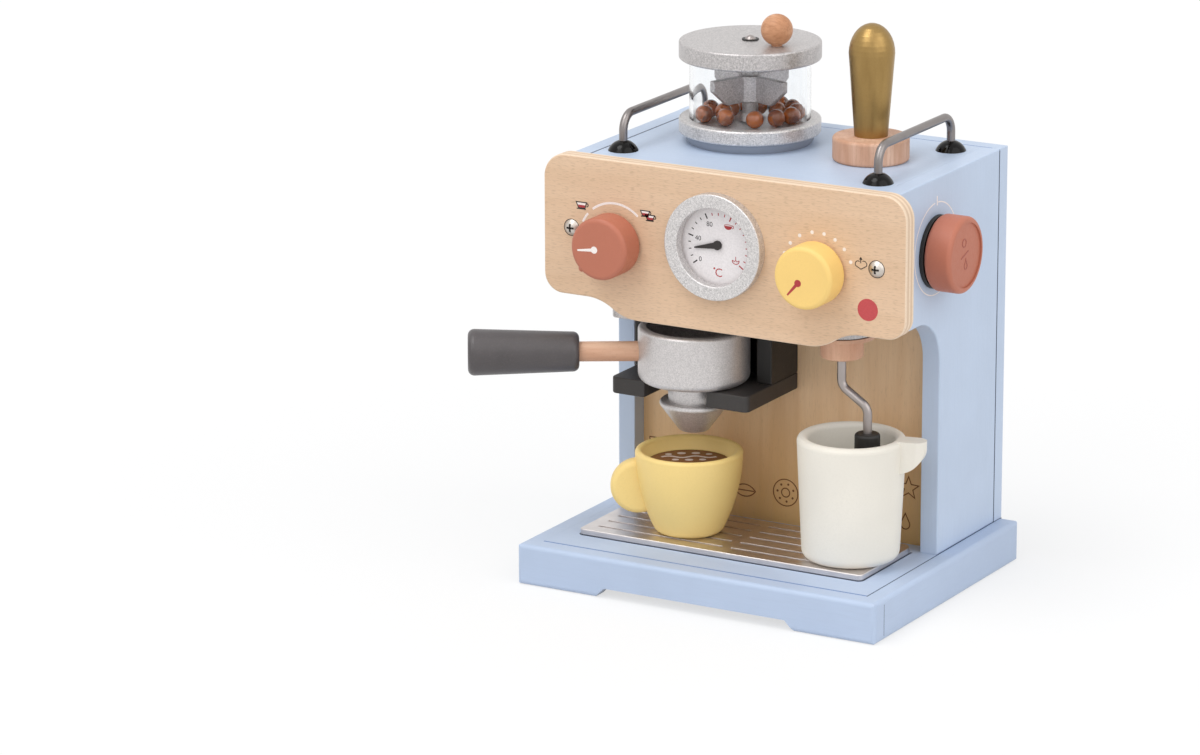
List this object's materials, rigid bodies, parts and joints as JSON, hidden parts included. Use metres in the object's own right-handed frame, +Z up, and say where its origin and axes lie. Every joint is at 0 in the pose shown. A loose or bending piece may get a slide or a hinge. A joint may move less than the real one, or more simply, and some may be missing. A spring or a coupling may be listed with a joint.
{
  "type": "toy coffee maker",
  "caption": "Wooden toy espresso machine with turning knobs, crank grinder, swivelling steam wand, removable portafilter, tamper, cup and jug.",
  "frame": {"origin": "centre of the base's footprint, on the surface that the machine stands on", "axes": "+Z up, -Y towards the front panel and its knobs, +X to the right when facing the front"},
  "size_m": [0.2278, 0.1581, 0.2676],
  "materials": {
    "blue_paint": "satin pale blue paint on wood fibre board",
    "plywood": "bare plywood, clear matt varnish",
    "beech": "turned beech, clear matt varnish",
    "silver_paint": "fine sparkle silver paint",
    "steel": "satin steel",
    "grey_paint": "grey enamel on steel wire",
    "black_paint": "matt black",
    "dark_paint": "matt dark grey lacquer on wood",
    "terracotta_paint": "satin terracotta paint on wood",
    "yellow_paint": "satin yellow paint on wood",
    "cup_paint": "satin soft yellow paint on wood",
    "white_paint": "satin warm white paint on wood",
    "dial_print": "matt printed disc",
    "slate_paint": "satin blue-grey paint on wood",
    "gold_paint": "antique gold lacquer on wood",
    "bead_stain": "brown stained wood",
    "coffee_print": "printed matt disc",
    "clear_plastic": "clear acrylic tube"
  },
  "bodies": {
    "machine": {"base_front_board": "blue_paint", "base_left_board": "blue_paint", "base_right_board": "blue_paint", "base_back_board": "blue_paint", "base_deck": "blue_paint", "drip_tray": "silver_paint", "side_panel_left": "blue_paint", "side_panel_right": "blue_paint", "back_panel": "blue_paint", "top_board": "blue_paint", "head_floor": "blue_paint", "alcove_panel": "plywood", "front_panel": "plywood", "panel_screws": "steel", "gauge_ring": "silver_paint", "gauge_dial": "dial_print", "side_knob_washer": "black_paint", "group_plate": "silver_paint", "group_block": "black_paint", "group_fork": "black_paint", "wand_spacer": "silver_paint", "grinder_plinth": "slate_paint", "grinder_dish": "silver_paint", "hopper_tube": "clear_plastic", "bean_beads": "bead_stain", "rail_left": "grey_paint", "rail_right": "grey_paint", "rail_feet": "black_paint"},
    "brew_dial": {"brew_knob": "terracotta_paint", "brew_axle": "beech", "brew_retainer": "black_paint"},
    "steam_dial": {"steam_knob": "yellow_paint", "steam_axle": "beech", "steam_retainer": "black_paint"},
    "side_dial": {"side_knob": "terracotta_paint", "side_axle": "beech", "side_retainer": "black_paint"},
    "needle": {"gauge_needle": "black_paint", "gauge_pin": "steel"},
    "steam_wand": {"wand_boss": "beech", "wand_rod": "steel", "wand_tip": "black_paint", "wand_retainer": "black_paint"},
    "grinder_rotor": {"grinder_lid": "silver_paint", "grinder_ball": "beech", "grinder_spindle": "silver_paint", "grinder_blades": "silver_paint", "grinder_screw": "steel", "grinder_screw_washer": "black_paint"},
    "portafilter": {"portafilter_basket": "silver_paint", "portafilter_spout": "silver_paint", "portafilter_dowel": "beech", "portafilter_grip": "dark_paint"},
    "tamper": {"tamper_base": "beech", "tamper_handle": "gold_paint"},
    "cup": {"coffee_cup": "cup_paint"},
    "coffee": {"coffee_disc": "coffee_print"},
    "jug": {"milk_jug": "white_paint"}
  },
  "joints": [
    {"name": "brew_knob_turn", "type": "hinge", "parent": "machine", "child": "brew_dial", "pos_m": [-0.0573, -0.048, 0.165], "axis": [0, -1, 0], "continuous": true},
    {"name": "steam_knob_turn", "type": "hinge", "parent": "machine", "child": "steam_dial", "pos_m": [0.0497, -0.048, 0.1648], "axis": [0, -1, 0], "continuous": true},
    {"name": "side_knob_turn", "type": "hinge", "parent": "machine", "child": "side_dial", "pos_m": [0.0881, -0.0003, 0.1683], "axis": [1, 0, 0], "continuous": true},
    {"name": "needle_turn", "type": "hinge", "parent": "machine", "child": "needle", "pos_m": [-0.0027, -0.0471, 0.1705], "axis": [0, 1, 0], "range_deg": [-25.2, 226.8]},
    {"name": "wand_swivel", "type": "hinge", "parent": "machine", "child": "steam_wand", "pos_m": [0.05, -0.0235, 0.131], "axis": [0, 0, 1], "range_deg": [-60, 60]},
    {"name": "grinder_crank", "type": "hinge", "parent": "machine", "child": "grinder_rotor", "pos_m": [-0.025, 0.025, 0.2429], "axis": [0, 0, 1], "continuous": true},
    {"name": "portafilter_slide", "type": "slide", "parent": "machine", "child": "portafilter", "axis": [0, -1, 0], "range_m": [0, 0.115]},
    {"name": "tamper_lift", "type": "slide", "parent": "machine", "child": "tamper", "axis": [0, 0, 1], "range_m": [0, 0.08]},
    {"name": "cup_slide", "type": "slide", "parent": "machine", "child": "cup", "axis": [0, -1, 0], "range_m": [0, 0.11]},
    {"name": "coffee_lift", "type": "slide", "parent": "cup", "child": "coffee", "axis": [0, 0, 1], "range_m": [0, 0.012]},
    {"name": "jug_lift", "type": "slide", "parent": "machine", "child": "jug", "axis": [0, 0, 1], "range_m": [0, 0.02]}
  ]
}
